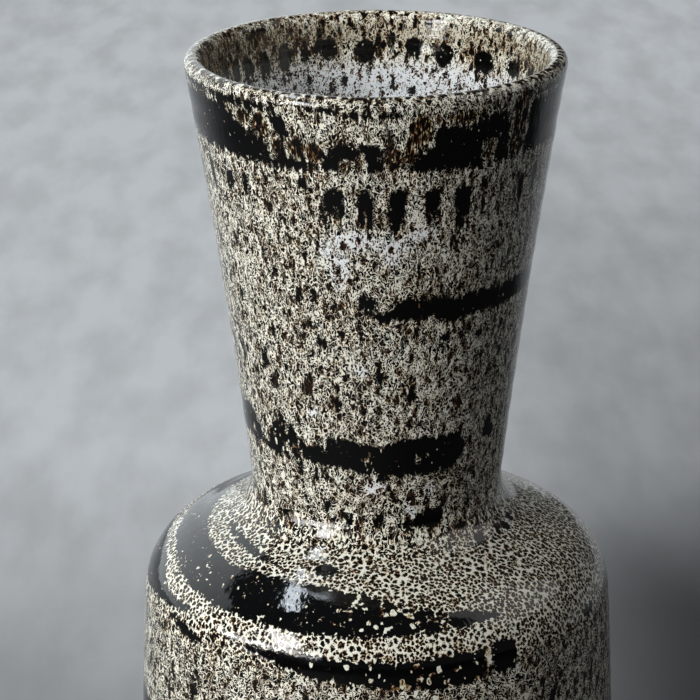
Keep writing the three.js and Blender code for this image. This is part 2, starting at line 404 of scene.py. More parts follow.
# Bands of bare black as (angle, upper run, lower run)
LIP_LINE = (
    (-180, 6.5, 7.5), (-150, 8, 6), (-120, 6, 8), (-90, 5.5, 8), (-57, 5.2, 8.0), (-49, 5.6, 9.2),
    (-42, 5.8, 9.2), (-36, 6.0, 9.2), (-32, 6.6, 8.6), (-28.5, 8.2, 6.4), (-22, 6.8, 6.2), (-19, 5.0, 7.4),
    (-14, 5.4, 7.8), (-9, 6.8, 8.8), (-5, 7.2, 8.6), (-2.5, 7.8, 8.2), (-0.5, 8.2, 7.4), (2, 7.2, 8.4),
    (5, 6.4, 8.2), (8, 7.0, 7.8), (10, 8.4, 6.6), (45, 8.6, 6.6), (52, 7.2, 7.4), (60, 6, 8), (100, 6, 8),
    (130, 8, 6.4), (160, 6, 7.8),
)
TOP_BAND = (
    (-180, 10, 27), (-150, 9.5, 29), (-120, 9, 28), (-90, 9, 27), (-57, 9, 28), (-40, 9, 28.5),
    (-29, 9.5, 29.5), (-25.5, 18, 29.5), (-20, 19.5, 29), (-15, 21.5, 28.5), (-11, 18.5, 27.8),
    (-1, 18.5, 28), (0.5, 19, 28.4), (10, 19, 28.6), (18, 13, 29), (21, 10, 29.5), (38, 10.5, 29.2),
    (45, 9.5, 30), (57, 9, 29), (80, 9, 28), (110, 12, 28), (140, 9, 26.5), (160, 11, 29),
)
MIDDLE_BAND = (
    (-180, 86, 78), (-12, 86, 78), (-2.5, 83.5, 82), (0, 81, 84.6), (5, 80.4, 85.4), (8, 76, 84.6),
    (20, 76, 85), (25, 77.4, 86.5), (30, 76.4, 87.4), (36, 76, 86), (50, 77, 85), (62, 76, 85),
    (80, 77, 84), (110, 78, 86), (132, 80, 84), (142, 84, 80),
)
LOW_BAND = (
    (-180, 131, 140), (-150, 129, 141), (-120, 130, 139), (-100, 128, 141), (-80, 127.5, 140.5),
    (-66, 127, 141), (-61, 131.5, 141), (-57, 135.6, 140.6), (-52, 134.6, 142), (-47, 128.5, 142.4),
    (-43, 126.8, 142), (-38, 128.4, 141.6), (-34, 132.8, 142), (-30.5, 136.4, 142), (-27, 134.8, 142.4),
    (-24, 131.4, 142), (-18, 130.4, 142.6), (-10, 131.4, 144), (-3, 133, 145), (2, 134.4, 145),
    (6, 132.4, 145.2), (12, 130.4, 146), (30, 130.6, 146.2), (35, 131, 145.4), (38, 134, 141.6),
    (40.5, 140, 137), (48, 138, 134), (51, 131, 138), (56, 131, 138), (60, 138, 134.6), (75, 137, 134.5),
    (95, 131, 139), (120, 129, 141), (150, 130, 140),
)
FOOT_OF_NECK = (
    (-180, 170, 160), (6, 168, 162.5), (10, 163.6, 166), (14, 164, 167.4), (19, 161, 167.4),
    (22, 159.6, 167), (28, 160, 166.6), (32, 165.4, 162.6),
)
UPPER_WEDGE = (
    (-180, 184, 176), (-84, 181.5, 178.8), (-72, 178.8, 181.4), (-60, 180.2, 183.9), (-50, 181.6, 185.5),
    (-42, 183.4, 186.2), (-36, 184.8, 186.2), (-32, 187.4, 185),
)
CRESCENT = (
    (-180, 192, 202), (-150, 186, 199), (-120, 184, 197.5), (-100, 184.5, 198.5), (-90, 186, 200),
    (-80, 188, 202), (-70, 189.8, 204.8), (-60, 191.2, 207.3), (-50, 193, 209.2), (-45, 192, 210),
    (-40, 191, 210.6), (-33, 191, 211), (-25, 192, 211.3), (-20, 191.2, 211.6), (-15, 192, 211.6),
    (-10, 193.2, 211.6), (-4, 194, 211.6), (0, 195, 211.5), (3, 196.5, 211.4), (5, 199, 211.3),
    (10, 201, 211), (16, 202.5, 210.8), (20, 203.5, 210.3), (28, 205.5, 209.5), (33, 206.8, 208.6),
    (37, 208.6, 207), (48, 213, 204), (140, 208, 202), (160, 200, 204),
)
LEFT_BAND = (
    (-180, 208, 215), (-150, 204, 214), (-120, 203.5, 217), (-100, 204, 218.5), (-85, 205, 220.5),
    (-78, 206.5, 221), (-72, 210.5, 219.5), (-66, 214, 219.3), (-60, 215, 218.3), (-55, 214, 216.8),
    (-51, 213.8, 214.6), (-48, 216.4, 212), (150, 216, 208),
)
LEFT_LINE = (
    (-180, 226, 218), (-66, 222, 219), (-60, 219.8, 221.4), (-54, 221, 225), (-48, 223, 225.6),
    (-44, 225, 225.4), (-41, 227.5, 223),
)
EDGE_BAND = (
    (-180, 219, 224), (-150, 221, 224), (-130, 224, 219), (-41, 224, 219.2), (-37, 220.0, 220.6),
    (-33, 219.2, 221.0), (-29, 219, 222), (-24, 218.8, 224), (-19, 218.8, 226), (-16, 219, 227),
    (-5, 219.6, 228.6), (5, 219.8, 230.6), (15, 219.6, 231.4), (24, 218.8, 230), (28.4, 217.8, 228),
    (28.8, 217, 229), (33.5, 217, 229), (35, 224, 220.4), (58, 224, 219.6), (60.5, 219, 223),
    (64, 219, 223), (67, 223, 219.6), (80, 218, 224), (110, 217, 226), (150, 218, 225),
)
BODY_BAND = (
    (-180, 262, 273), (-140, 264, 276), (-95, 261, 272), (-60, 263, 270), (-30, 261, 274),
    (0, 264, 272), (35, 262, 275), (60, 266, 270), (72, 272, 266), (100, 270, 266), (115, 262, 272),
    (150, 265, 276),
)
LOW_BODY_BAND = (
    (-180, 342, 350), (-130, 338, 351), (-90, 342, 348), (-75, 348, 343), (-50, 346, 342),
    (-35, 339, 350), (5, 341, 352), (50, 338, 349), (80, 341, 346), (95, 347, 342), (125, 341, 350),
)
BANDS = (
    LIP_LINE, TOP_BAND, MIDDLE_BAND, LOW_BAND, FOOT_OF_NECK, UPPER_WEDGE, CRESCENT, LEFT_BAND,
    LEFT_LINE, EDGE_BAND, BODY_BAND, LOW_BODY_BAND,
)

# Ovals of bare black as (angle, run, half width, half height, tail)
OVALS = (
    (-66, 37, 2.3, 5, 3), (-54, 37, 2.3, 3, 3), (-46, 36.5, 1.9, 3, 3), (-37, 34.8, 1.0, 2.2, 0.6),
    (-33.5, 48, 1.3, 2.4, 1), (-23.5, 33, 1.6, 3, 1), (-13.6, 39.5, 4.3, 5, 6), (-16.6, 45, 1.6, 4, 4),
    (-3.6, 39.5, 2.9, 5, 7), (6.2, 39.5, 3.6, 5, 8), (17.5, 38.6, 3.0, 4.2, 5), (28, 39.5, 3.3, 4.6, 8),
    (35.4, 35, 1.6, 2.6, 1), (36, 44, 0.9, 3, 3), (43, 41, 1.2, 3, 3), (53, 40, 1.8, 4, 6),
    (61, 37, 2, 4, 3), (-43, 61.5, 1.1, 2, 1), (-57, 62, 1.4, 2.6, 2.4), (-38.5, 69, 1.3, 1.8, 0.8),
    (-37, 62.5, 1.3, 1.0, 0), (-25, 63, 1.1, 2, 1.4), (-13.5, 65.5, 1.4, 1.6, 1),
    (13.5, 64.5, 1.6, 1.4, 0.6), (-29, 76.5, 1.2, 2.4, 2), (-22.5, 76.6, 1.2, 2, 1.4),
    (-14.5, 78, 1, 1.4, 0.5), (-3.6, 78.4, 3.3, 3.4, 0.6), (-57.5, 82, 1.5, 1.5, 0.5),
    (-6, 89, 1.3, 3.4, 3.4), (10, 92, 0.9, 3, 2.4), (25, 96.6, 1.6, 1.6, 1), (25.4, 92.6, 2.0, 2.2, 0),
    (33, 92, 1.3, 2, 1), (-42, 92, 1.5, 2, 2), (-21, 93.4, 2, 1.4, 0.4), (-27.5, 91, 1.0, 1.2, 0.4),
    (0.8, 106, 1.6, 3.4, 3), (-48, 103, 1.5, 3.6, 3), (-37, 106, 1.5, 2.0, 1.4),
    (-56, 109.5, 1.5, 2.2, 1), (-64, 105, 2.0, 4, 2), (-12, 113.6, 1.5, 1.4, 0.4),
    (-15.5, 117.8, 1.6, 1.2, 0.6), (-7, 117, 1.0, 2, 1), (-2.5, 123.5, 1.6, 1.2, 0.4),
    (-34.5, 126, 1.4, 1.8, 1), (13, 114, 1.5, 2.6, 1.4), (-13, 162, 2.0, 2.6, 1),
    (0.6, 162.6, 1.9, 2.6, 1), (-22.5, 158, 1.3, 2.2, 1), (22, 156.4, 1.2, 3, 3),
    (-48, 165, 2.0, 1.2, 0.3), (-42, 163.4, 1.5, 1.5, 0.4), (-53, 172, 1.3, 2, 1), (-48, 171, 1.3, 2, 1),
    (-37, 169.5, 1.6, 1.6, 0.6), (-18, 184, 4.6, 3.0, 0.3), (45, 175.6, 2.6, 2.6, 0.4),
    (40, 169, 1.8, 1.6, 0.6), (50, 172, 1.6, 1.4, 0), (63, 176.4, 2.0, 2, 0), (57, 175, 1.6, 2.2, 0),
    (70, 175, 1.8, 2, 0),
)
# Red-brown ovals, as the black ones
RUST_OVALS = (
    (-44, 113, 1.9, 3.4, 1), (-27, 112, 2.3, 2.6, 1.4), (14.5, 153.6, 2.0, 2.6, 1), (30, 156, 1.8, 2.2, 1),
    (-60, 72, 1.7, 2, 0.6), (3.4, 17.5, 1.1, 4, 3), (-37, 45, 0.9, 2.4, 1.6), (-12, 56, 1.0, 1.8, 1),
    (-60, 104, 1.6, 2, 1), (33, 118, 1.6, 2.2, 1),
)
# Thin runs of black as two (angle, run) ends and a half width
RUNS = (
    ((-34.6, 140), (-34.4, 149), 1.1), ((-27, 141), (-27.2, 148), 0.7), ((-24.6, 141), (-24.2, 148.4), 0.6),
    ((-21.6, 141), (-21.6, 146), 0.5), ((1, 142), (2.5, 147), 1.2), ((2.5, 147), (8.5, 156), 0.7),
    ((8.5, 152), (11.5, 163), 0.6), ((-17.2, 222), (-17.2, 236), 0.5), ((-48, 230), (-48, 240), 0.5),
    ((-18, 42), (-18.4, 49), 0.7), ((-10.6, 40), (-10.4, 48), 0.6),
)
# Thin cream over the black, where the ground shows between the threads, as (angle, run, half width,
# half height)
VEILS = (
    (5, 24, 3.6, 6.5), (13, 14, 5, 7), (-37, 14, 4.2, 5), (-43, 12.4, 4.2, 3.6),
    (-34.8, 15.6, 2.4, 5.2), (-48.5, 10.6, 3, 1.6), (-32, 21, 2.2, 4), (-25, 21, 4, 4),
    (-9.5, 26.5, 2.4, 2.4), (-5, 25, 1.4, 3.4), (-19, 22, 4, 4.5), (9.5, 22, 3, 5),
    (26, 10, 8, 3), (47.5, 17, 4.5, 16), (36, 24, 3, 5), (16, 75.4, 3.4, 1.6), (30, 75.6, 3.4, 1.6),
)
# Islands of cream in the black as (angle, run, half width, half height)
ISLANDS = (
    (-54, 137.5, 1.3, 1.1), (-41.6, 136.6, 0.8, 2.4), (-36.6, 138, 1.4, 1.1), (-4.2, 139, 1.1, 1.4),
    (-23, 134, 0.5, 0.9), (17, 139, 0.5, 1), (-12, 137, 0.4, 0.5), (-43.6, 133.8, 0.4, 0.8),
    (-48, 135.2, 0.5, 0.7), (-66, 137, 1.6, 1.2), (-6, 195.6, 0.9, 1.2), (-6, 199, 0.8, 1.0),
    (-7.6, 201.4, 0.9, 1.1), (0.6, 199, 0.7, 1.6), (1.4, 202.6, 1.2, 1.2), (-9.6, 207, 0.9, 0.7),
    (-20, 207, 0.5, 0.5), (-38.6, 203, 0.8, 0.6), (-38.6, 196, 0.6, 0.5), (10, 206.6, 1.0, 0.8),
    (11, 210.4, 0.9, 0.8), (8, 203.2, 1.5, 1.4), (5.4, 201.4, 1.0, 1.2), (14, 206, 1.4, 0.8),
    (18, 205.4, 1.0, 0.8), (-58, 198, 1.0, 0.7), (-61, 196, 0.8, 0.5), (-15, 206, 0.5, 0.6),
    (1.6, 208.4, 0.8, 0.7), (-31, 209, 0.5, 0.4), (17, 208.6, 1.2, 0.6), (-95, 194, 0.9, 0.7),
    (-8, 218.8, 0.5, 0.6), (-2, 220.6, 0.6, 0.5), (4, 220, 0.6, 0.8), (9.6, 222, 0.7, 0.8),
    (-11, 219, 0.6, 0.5), (15, 219, 0.6, 0.5), (26.4, 223, 1.5, 5.5), (9.4, 225, 0.5, 1.6),
    (-13.4, 48, 1.3, 3.4), (-3.6, 48, 0.8, 2.6),
)
# Milky pools as (angle, run, half width, half height)
POOLS = (
    (-8, 54, 13, 5.6), (5, 56, 9, 5.6), (-13, 65, 5.5, 10), (14, 52, 7, 3.6), (5, 61, 4, 4),
    (-18, 58, 4, 4), (-27, 122, 3, 3), (-6, 104, 2.6, 2.6), (62, 176, 10, 4), (23, 153, 2.6, 5),
    (15, 160, 3, 5), (-2, 150, 5, 4), (105, 56, 9, 6), (160, 60, 12, 6), (-130, 55, 10, 5),
    (-165, 100, 5, 5),
)
# Places with thin cream as (angle, run, half width, half height)
THIN_PLACES = ((18, 77, 17, 8), (8, 238, 42, 14), (110, 236, 30, 9), (-140, 240, 26, 10))
# Places with cream flecks in the black as (angle, run, half width, half height, share)
FLECKS = (
    (5, 203, 24, 10, 0.36), (0, 222, 46, 8, 0.30), (7, 231, 36, 6.5, 0.42), (-45, 136, 16, 8, 0.27),
    (22, 79, 14, 4, 0.26), (10, 138, 26, 8, 0.18), (-60, 200, 16, 8, 0.22), (150, 200, 30, 10, 0.3),
)
# Share of flecks in the rest of the black
FEW_FLECKS = 0.15
# Ovals and specks of bare black in the mouth, as the ovals outside
MOUTH_OVALS = (
    (121.5, 16.5, 3.8, 3.2, 0.5), (137, 16.6, 5.0, 3.8, 0.8), (154.5, 16.6, 3.9, 3.8, 1.0),
    (165.7, 13.6, 3.7, 2.8, 1.5), (178.4, 12, 1.0, 1.8, 0.4), (173.5, 10.6, 0.9, 1.0, 0),
    (183.3, 15.6, 3.8, 3.8, 1.6), (197.5, 13.6, 4.3, 2.8, 2.0), (206, 16.4, 2.0, 3.2, 1.4),
    (214, 16, 2.4, 4, 1), (223, 16.4, 2.6, 4, 1), (231, 17, 2.4, 4, 1), (238.5, 16, 2.0, 4, 1),
    (246, 16, 2.2, 4, 1), (255, 16.4, 2.4, 4, 1), (109, 16, 2.4, 3, 1), (97, 16.6, 3.0, 3.4, 1),
)
MOUTH_SPECKS = (
    (173, 28, 1.0, 2.4, 0), (166, 31, 1.8, 1.8, 0), (177, 32, 1.2, 2.4, 0), (146, 28, 1.0, 1.2, 0),
    (148, 25.6, 0.9, 2.0, 0), (191, 27, 1.0, 1.6, 0), (195.4, 29, 1.2, 2.8, 0), (158, 23, 0.8, 2, 0),
    (136.5, 23.6, 1.0, 1.8, 0), (183, 24, 0.8, 1.6, 0), (205, 26, 1.2, 2.4, 0), (168, 22, 0.6, 1.6, 0),
)
# Rows of uneven ovals round the vase as (count, run, half width, half height, tail, the two angles that
# are left free between)
OUTSIDE_SPOTS = (
    (26, 38, 2.4, 4, 4, (-72, 66)), (30, 64, 1.3, 2, 1.4, (-64, 40)), (26, 104, 1.5, 2.8, 2, (-70, 40)),
    (24, 162, 1.7, 2.2, 1, (-60, 40)), (34, 244, 1.6, 3.0, 3, (0, 0)), (30, 292, 2.6, 4.5, 6, (0, 0)),
    (38, 318, 1.4, 2.4, 2, (0, 0)), (32, 372, 1.8, 3.0, 3, (0, 0)),
)
INSIDE_SPOTS = (
    (30, 16.5, 2.6, 3.6, 2, (90, 260)), (40, 44, 1.5, 3, 3, (0, 0)), (36, 70, 1.7, 4, 4, (0, 0)),
    (30, 110, 1.9, 5, 5, (0, 0)),
)
# Seeds of those rows, the largest depth that is kept, and the run where the shoulder starts
OUTSIDE_SEED = 11
INSIDE_SEED = 23
DEEPEST = 6
SHOULDER_TOP = 180

# Relief of the surface: width of the step at the black's edge, turn of the throwing rings for each
# millimetre of run, their drift as (amount, turn), and where below the lip they begin and where they
# have their full height
STEP_WIDTH = 5
RING_TURN = 0.62
RING_DRIFT = (0.9, 0.071)
RING_START = 6
RING_FULL = 16


def depth_of(parts):
    """Deepest of several depths at every point."""
    return np.maximum.reduce(list(parts))


def graph(x, *knots):
    """Straight lines through knots of (x, value), level before the first and after the last."""
    return np.interp(x, *zip(*knots))


def row_of_spots(place, draw, count, run, wide, tall, tail, free):
    """A row of ovals round the vase at uneven steps, left out between the two free angles."""
    angles = (np.arange(count) + draw.uniform(-0.32, 0.32, count)) * (360 / count)
    sizes = draw.uniform(0.55, 1.25, (count, 3))
    lifts = draw.normal(0, 0.12 * tall, count)
    kept = [
        place.spot(a, run + lift, wide * w, tall * h, tail * t)
        for a, lift, (w, h, t) in zip(angles, lifts, sizes)
        if not free[0] < (a - free[0]) % 360 + free[0] < free[1]
    ]
    return depth_of(kept)


def soft_cover(place, pools):
    """Share of cover by soft-edged pools, from 0 to 1."""
    return np.clip(depth_of(place.spot(*pool) / (0.6 * min(pool[2:4])) for pool in pools), 0, 1)


def scattered(place, places):
    """Share of flecks: a few everywhere, and more in soft-edged places."""
    return depth_of(
        FEW_FLECKS + (share - FEW_FLECKS) * np.clip(place.spot(a, run, wide, tall) / (0.4 * tall), 0, 1)
        for a, run, wide, tall, share in places
    )


def drawn_out(run):
    """Distance down the surface for the fine pattern, which is drawn out most on the neck. On the
    shoulder the distance from the axis carries the pattern as well, so little is added there."""
    return graph(run, (0, 0), (168, 138), (182, 144), (205, 151), (232, 173), (430, 380)) * MM


def unrolled(place):
    """Growth from the axis that lays the shoulder and its corner out flat: the radius at the shoulder's
    top and the run below it, over the radius."""
    top = np.interp(SHOULDER_TOP, place.run[:, 0], place.radius[:, 0])
    return (top + np.clip(place.run - SHOULDER_TOP, -25, 60)) / place.radius


# Numbers that a glaze keeps for each vertex:
# bare: depth of bare black
# milk, rust, toast: shares of milky, red-brown and toasted cover
# rag: how far the edges of the black wander
# cell: share of the net of cells over the threads
# tone: more cream above zero, and less below
# fleck: share of cream flecks in the black
# streak: share of drawn-out fingers over the threads
# fall, spread, grain: distance down, growth from the axis and closeness of the fine pattern
# pepper: how much deeper the dark eyes are
# calm: how far threads and net are stilled

def outside_glaze(place):
    """Numbers of the outer glaze: bands, ovals and runs of black, with veils, islands and pools."""
    draw = np.random.default_rng(OUTSIDE_SEED)
    run = place.run
    rust = depth_of(place.spot(*oval) for oval in RUST_OVALS)
    black = [place.band(knots) for knots in BANDS]
    black += [place.spot(*oval) for oval in OVALS]
    black += [place.stroke(*ends) for ends in RUNS]
    black += [row_of_spots(place, draw, *row) for row in OUTSIDE_SPOTS]
    veil = depth_of(place.spot(*spot) for spot in VEILS)
    cream = depth_of(place.spot(*island) for island in ISLANDS)
    isle = np.clip(cream + 0.4, 0, 1)
    milk = soft_cover(place, POOLS)
    bare = np.minimum(depth_of(black), -np.minimum(veil, 0.8))
    bare = np.maximum(np.minimum(bare, -cream), rust)
    tone = graph(
        run, (0, 0.16), (3, 0.06), (6, -0.05), (20, -0.06), (32, -0.03), (50, 0.02), (64, -0.01),
        (205, 0), (214, 0.06), (220, 0), (240, -0.04),
    )
    return {
        "bare": np.clip(bare, -DEEPEST, DEEPEST),
        "milk": milk,
        "rust": np.clip(rust + 1, 0, 1),
        "toast": np.zeros_like(bare),
        "rag": graph(
            run, (3, 0.8), (7, 4.4), (30, 4.4), (35, 2.0), (46, 3.0), (60, 4.4), (168, 4.4), (182, 1.8),
            (222, 1.8), (234, 3.6),
        ),
        "cell": graph(run, (1, 0.6), (4, 0), (160, 0), (180, 0.72), (218, 0.72), (232, 0)),
        "tone": tone - 0.15 * soft_cover(place, THIN_PLACES) + 0.2 * isle + 0.1 * milk,
        "fleck": scattered(place, FLECKS),
        "streak": np.clip(veil / 2, 0, 1),
        "fall": drawn_out(run),
        "spread": unrolled(place),
        "grain": graph(run, (0, 1.4), (20, 1.4), (60, 1.35), (140, 1.25), (170, 1)),
        "pepper": graph(run, (1.5, 1), (4, 0)),
        "calm": depth_of([graph(run, (1, 0.45), (4, 0)), 0.85 * isle, 0.6 * milk]),
    }


def inside_glaze(place):
    """Numbers of the inner glaze: ovals under the lip with runs below them, toasted above them and milky
    below, and streaked on the left, where the tone is also lowered as painted shade."""
    draw = np.random.default_rng(INSIDE_SEED)
    run = place.run
    black = [place.spot(*oval) for oval in MOUTH_OVALS + MOUTH_SPECKS]
    black += [row_of_spots(place, draw, *row) for row in INSIDE_SPOTS]
    black += [
        place.stroke((a + offset, start), (a + offset, start + tall + reach), 0.6)
        for a, start, wide, tall, _ in MOUTH_OVALS
        for offset, reach in zip((-0.45 * wide, 0.6 * wide), draw.uniform(1.0, 5.0, 2))
    ]
    bare = depth_of(black)
    left = graph(place.angle % 360, (190, 0), (215, 1), (270, 1), (290, 0))
    tone = graph(run, (0, 0.28), (6, 0.12), (12, 0.06), (24, 0.26), (60, 0))
    calm = graph(run, (1, 0.45), (10, 0.55), (18, 0.5), (26, 0.55), (45, 0.2))
    return {
        "bare": np.clip(bare, -DEEPEST, DEEPEST),
        "milk": graph(run, (17, 0), (24, 1)) * graph(run, (40, 1), (70, 0)),
        "rust": np.zeros_like(bare),
        "toast": 0.7 * graph(run, (4, 0), (7, 1)) * graph(run, (10, 1), (16, 0)),
        "rag": graph(run, (3, 0.8), (9, 3.2)),
        "cell": graph(run, (1, 0.6), (4, 0)),
        # The lower tone on the left inner wall is painted shade; the streaks there are the glaze's own
        "tone": tone - 0.06 * left,
        "fleck": np.full_like(bare, FEW_FLECKS),
        "streak": 0.5 * left,
        "fall": -drawn_out(run),
        "spread": np.ones_like(bare),
        "grain": graph(run, (0, 1.4), (20, 1.35), (60, 1)),
        "pepper": graph(run, (4, 1), (7, 0.4), (20, 0.1)),
        "calm": calm * (1 - left),
    }


def raised(s, fields, place):
    """Height of the surface: the cream stands proud of the black by a soft step at the edge, and throwing
    rings about 10 mm apart run round as waves of uneven length that fade out by the lip."""
    step = np.clip(0.5 - fields["bare"] / STEP_WIDTH, 0, 1)
    step = step * step * (3 - 2 * step)
    amount, drift = RING_DRIFT
    turned = place.run * RING_TURN + amount * np.sin(place.run * drift)
    wave = np.sin(turned + np.radians(place.angle))
    fade = np.clip((place.run - RING_START) / (RING_FULL - RING_START), 0, 1)
    return s.relief * (step - 1) + s.ripple * (wave - 1) * fade


def grid_place(line, runs, angles):
    """Points of a line at some runs, and the angles, runs and radii of the grid turned from them."""
    points = points_at(line, runs)
    angle = np.broadcast_to(np.degrees(angles), (len(runs), len(angles)))
    run = np.broadcast_to(np.asarray(runs)[:, None] / MM, angle.shape)
    radius = np.broadcast_to(points[:, :1] / MM, angle.shape)
    return points, Place((angle + 180) % 360 - 180, run, radius)


# Shader maths

class Wire:
    """An output of a node. Arithmetic on wires and numbers adds Math nodes."""

    def __init__(self, bench, socket):
        self.bench = bench
        self.socket = socket

    def math(self, operation, *values):
        return self.bench.node("ShaderNodeMath", {"operation": operation}, dict(enumerate(values)))

    def __add__(self, other):
        return self.math("ADD", self, other)

    def __radd__(self, other):
        return self.math("ADD", other, self)

    def __sub__(self, other):
        return self.math("SUBTRACT", self, other)

    def __rsub__(self, other):
        return self.math("SUBTRACT", other, self)

    def __mul__(self, other):
        return self.math("MULTIPLY", self, other)

    def __rmul__(self, other):
        return self.math("MULTIPLY", other, self)

    def __truediv__(self, other):
        return self.math("DIVIDE", self, other)

    def __rtruediv__(self, other):
        return self.math("DIVIDE", other, self)

    def __abs__(self):
        return self.math("ABSOLUTE", self)

    def most(self, other):
        """The larger of two."""
        return self.math("MAXIMUM", self, other)


class Bench:
    """The emptied node tree of a material or world, with one method that makes every node."""

    def __init__(self, owner):
        self.owner = owner
        owner.use_nodes = True
        self.tree = owner.node_tree
        self.tree.nodes.clear()

    def node(self, kind, settings, sockets, output=0):
        """A node with its settings made first, then its sockets filled or linked."""
        made = self.tree.nodes.new(kind)
        for name, value in settings.items():
            if name == "stops":
                self.set_stops(made.color_ramp, value)
            else:
                setattr(made, name, value)
        for key, value in sockets.items():
            if isinstance(value, Wire):
                self.tree.links.new(value.socket, made.inputs[key])
            else:
                made.inputs[key].default_value = value
        return Wire(self, made.outputs[output]) if len(made.outputs) else None

    def set_stops(self, ramp, stops):
        """Places and colours of a ramp, in order."""
        while len(ramp.elements) < len(stops):
            ramp.elements.new(1.0)
        for element, (position, colour) in zip(ramp.elements, stops):
            element.position = position
            element.color = (*colour, 1.0)

    def field(self, name):
        """A number kept for each vertex."""
        return self.node("ShaderNodeAttribute", {"attribute_name": name}, {}, "Fac")

    def place(self):
        """The place on the object."""
        return self.node("ShaderNodeTexCoord", {}, {}, "Object")

    def axis(self, vector, name):
        """One axis of a place."""
        return self.node("ShaderNodeSeparateXYZ", {}, {0: vector}, name)

    def ray(self, kind):
        """1 for rays of a kind, and 0 for others."""
        return self.node("ShaderNodeLightPath", {}, {}, f"Is {kind} Ray")

    def flow(self):
        """The place, with the distance drawn out down the surface in place of the height."""
        place = self.place()
        grain = self.field("grain")
        x, y = (self.axis(place, name) * grain for name in "XY")
        return self.node("ShaderNodeCombineXYZ", {}, {0: x, 1: y, 2: self.field("fall")})

    def stirred(self, vector, scale, reach):
        """A place moved by coloured noise, so that what is drawn with it loses its straight lines."""
        push = self.noise(vector, scale, 1.0, 0.0, "Color")
        settings = {"operation": "MULTIPLY_ADD"}
        return self.node("ShaderNodeVectorMath", settings, {0: push, 1: (reach,) * 3, 2: vector})

    def seen(self):
        """1 for rays from the camera, from a mirror or through glass, and 0 for light on the object."""
        return self.ray("Camera").most(self.ray("Glossy").most(self.ray("Transmission")))

    def stretched(self, vector, scale):
        """A place with its axes scaled, so that a pattern is drawn out along the smaller ones."""
        return self.node("ShaderNodeVectorMath", {"operation": "MULTIPLY"}, {0: vector, 1: scale})

    def noise(self, vector, scale, detail=2.0, swirl=0.0, output="Fac"):
        """Cloudy noise with so many features to the metre, about 0.5 in the middle."""
        sockets = {"Vector": vector, "Scale": scale, "Detail": detail, "Distortion": swirl}
        return self.node("ShaderNodeTexNoise", {}, sockets, output)

    def ridge(self, vector, scale, swirl):
        """Above zero along the winding lines where noise passes its middle."""
        return 0.05 - abs(self.noise(vector, scale, 0.0, swirl) - 0.5)

    def dots(self, vector, scale):
        """Distance to the middle of the nearest cell, in shares of a cell."""
        return self.node("ShaderNodeTexVoronoi", {}, {"Vector": vector, "Scale": scale}, "Distance")

    def pits(self, vector, scale):
        """Below zero in round pits in the middles of flat cells, above zero along the walls between them:
        the distance to the middle less the distance to the wall, in shares of a cell."""
        flat = {"voronoi_dimensions": "2D"}
        sockets = {"Vector": vector, "Scale": scale}
        middle = self.node("ShaderNodeTexVoronoi", flat, sockets, "Distance")
        walled = {"feature": "DISTANCE_TO_EDGE", **flat}
        return middle - self.node("ShaderNodeTexVoronoi", walled, sockets, "Distance")

    def ramp(self, level, *stops):
        """Colour that goes through (place, colour) stops."""
        return self.node("ShaderNodeValToRGB", {"stops": stops}, {"Fac": level}, "Color")

    def ease(self, value, low, high):
        """0 below low, 1 above high, and an S-curve between."""
        sockets = {"Value": value, "From Min": low, "From Max": high}
        return self.node("ShaderNodeMapRange", {"interpolation_type": "SMOOTHSTEP"}, sockets)

    def mix(self, share, first, second):
        """Colour between two."""
        settings = {"data_type": "RGBA", "clamp_factor": True}
        return self.node("ShaderNodeMix", settings, {0: share, 6: first, 7: second}, 2)

    def bump(self, height):
        """Normal of a fine relief."""
        sockets = {"Strength": 0.5, "Distance": 0.4 * MM, "Height": height}
        return self.node("ShaderNodeBump", {}, sockets, "Normal")

    def finish(self, sockets):
        """The surface shader with these sockets, as the material's output."""
        surface = self.node("ShaderNodeBsdfPrincipled", {}, sockets)
        self.node("ShaderNodeOutputMaterial", {}, {"Surface": surface})
        return self.owner


# Features to the metre of the patterns in the glaze and the clay
GRAIN_SCALE = 1800.0
DRIP_SCALE = 430.0
PATCH_SCALE = 90.0
FINGER_SCALE = 1300.0
WIDE_THREADS = 520.0
CLOSE_THREADS = 740.0
WIDE_CELLS = 460.0
CLOSE_CELLS = 660.0
EYE_SCALE = 270.0
FLECK_SCALE = 320.0
CLOUD_SCALE = 60.0
SPECK_SCALE = 420.0

# Dashes round the crest of the lip, and how far down each side they go
DASHES = 96.0
DASH_DEPTH = 0.6 * MM

# Colours of the iron specks in the clay and of a floor that gives no light
SPECK = (0.03, 0.018, 0.01)
DARK = (0.0, 0.0, 0.0)


def rgba(colour):
    """A colour with full cover."""
    return (*colour, 1.0)


def lip_dashes(bench, grain, patch):
    """Share of dark in the row of short dashes round the crest of the lip: waves of the angle, cut off a
    short way down each side and fainter at the back."""
    place = bench.place()
    x, y = (bench.axis(place, name) for name in "XY")
    around = x.math("ARCTAN2", x, y)
    row = around.math("SINE", around * DASHES + patch * 9.0)
    crest = 1 - bench.ease(abs(bench.field("fall") - DASH_DEPTH), DASH_DEPTH, 2 * DASH_DEPTH)
    front = 1 - bench.ease(y, -0.01, 0.04) * 0.8
    return bench.ease(row + (grain - 0.5) * 2.0 + (patch - 0.5) * 2.0, 0.0, 0.5) * crest * front


